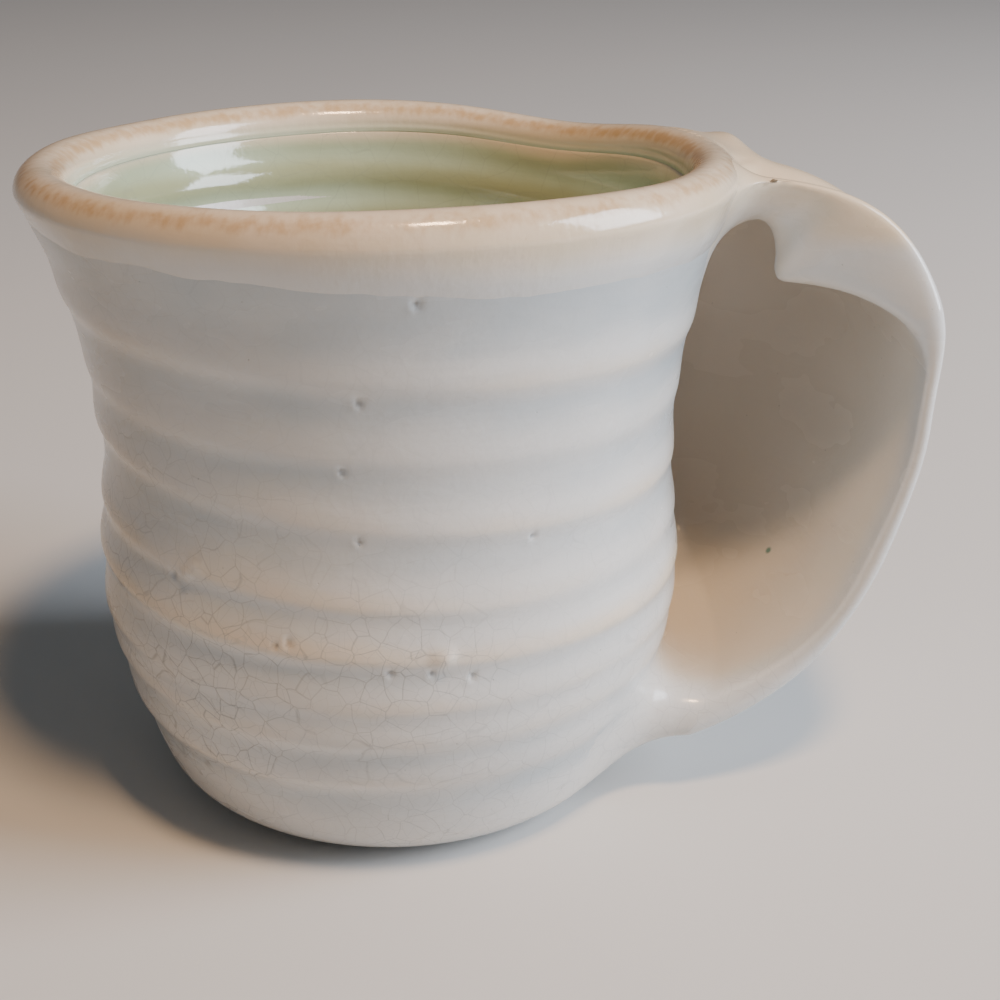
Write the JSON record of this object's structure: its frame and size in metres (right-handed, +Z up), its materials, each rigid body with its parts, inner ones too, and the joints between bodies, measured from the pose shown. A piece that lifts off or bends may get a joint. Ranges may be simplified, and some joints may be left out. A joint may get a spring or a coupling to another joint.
{
  "type": "ceramic hand-warmer mug",
  "caption": "Wheel-thrown ceramic mug with a flared lip and a closed hand pocket for a handle, white outside and pale green inside.",
  "frame": {"origin": "centre of the cup's flat foot, on the surface that the mug stands on", "axes": "+Z up along the cup's axis, +X towards the hand pocket, and the pocket's mouth faces -Y"},
  "size_m": [0.1225, 0.095, 0.0931],
  "materials": {
    "white_glaze": "glossy off-white crackle glaze on stoneware",
    "celadon_glaze": "glossy pale green liner glaze",
    "cream_glaze": "glossy cream glaze, second dip"
  },
  "bodies": {
    "root": {"cup_body": "white_glaze", "liner_glaze": "celadon_glaze", "rim_glaze": "cream_glaze", "hand_pocket": "white_glaze", "upper_join_coil": "white_glaze", "rear_join_coil": "white_glaze", "lower_join_coil": "white_glaze"}
  },
  "joints": []
}
